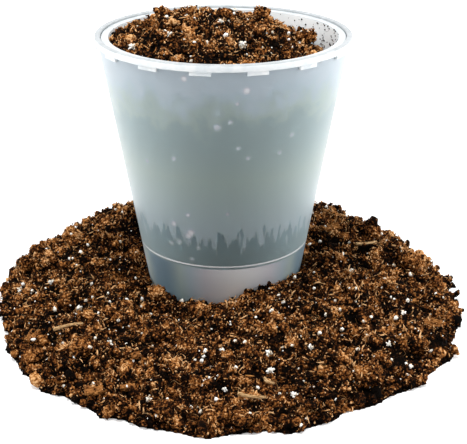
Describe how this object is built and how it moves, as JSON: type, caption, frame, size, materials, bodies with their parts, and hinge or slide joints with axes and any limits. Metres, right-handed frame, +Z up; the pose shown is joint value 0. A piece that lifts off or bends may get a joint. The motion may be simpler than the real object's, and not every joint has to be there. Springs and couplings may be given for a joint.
{
  "type": "compost-filled plant pot",
  "caption": "Frosted double plant pot filled with potting compost, with a water reservoir under its inner pot, standing in a wide heap of loose compost.",
  "frame": {"origin": "middle of the outer pot's flat base, on the floor", "axes": "+Z up along the pot's axis, -Y towards the side that the picture shows, +X to its right"},
  "size_m": [0.265, 0.2886, 0.163],
  "materials": {
    "outer_pot_plastic": "frosted polypropylene, moulded, see-through",
    "inner_pot_plastic": "frosted polypropylene, moulded, see-through",
    "compost": "moist, loose, fibrous peat and composted bark",
    "peat": "matted fibrous peat",
    "perlite": "white, expanded, rough",
    "bark": "broken pine bark",
    "twig": "dry stem"
  },
  "bodies": {
    "root": {"outer_pot": "outer_pot_plastic", "inner_pot": "inner_pot_plastic", "compost_fill": "compost", "compost_heap": "compost", "perlite_grain_01": "perlite", "perlite_grain_02": "perlite", "perlite_grain_03": "perlite", "perlite_grain_04": "perlite", "perlite_grain_05": "perlite", "perlite_grain_06": "perlite", "perlite_grain_07": "perlite", "perlite_grain_08": "perlite", "perlite_grain_09": "perlite", "perlite_grain_10": "perlite", "perlite_grain_11": "perlite", "perlite_grain_12": "perlite", "perlite_grain_13": "perlite", "perlite_grain_14": "perlite", "perlite_grain_15": "perlite", "perlite_grain_16": "perlite", "perlite_grain_17": "perlite", "perlite_grain_18": "perlite", "perlite_grain_19": "perlite", "peat_clod_01": "peat", "peat_clod_02": "peat", "peat_clod_03": "peat", "peat_clod_04": "peat", "peat_clod_05": "peat", "peat_clod_06": "peat", "peat_clod_07": "peat", "peat_clod_08": "peat", "peat_clod_09": "peat", "peat_clod_10": "peat", "peat_clod_11": "peat", "peat_clod_12": "peat", "peat_clod_13": "peat", "peat_clod_14": "peat", "peat_clod_15": "peat", "peat_clod_16": "peat", "peat_clod_17": "peat", "peat_clod_18": "peat", "bark_chip_01": "bark", "bark_chip_02": "bark", "bark_chip_03": "bark", "bark_chip_04": "bark", "bark_chip_05": "bark", "bark_chip_06": "bark", "bark_chip_07": "bark", "bark_chip_08": "bark", "bark_chip_09": "bark", "twig_01": "twig", "twig_02": "twig", "twig_03": "twig", "twig_04": "twig"}
  },
  "joints": []
}
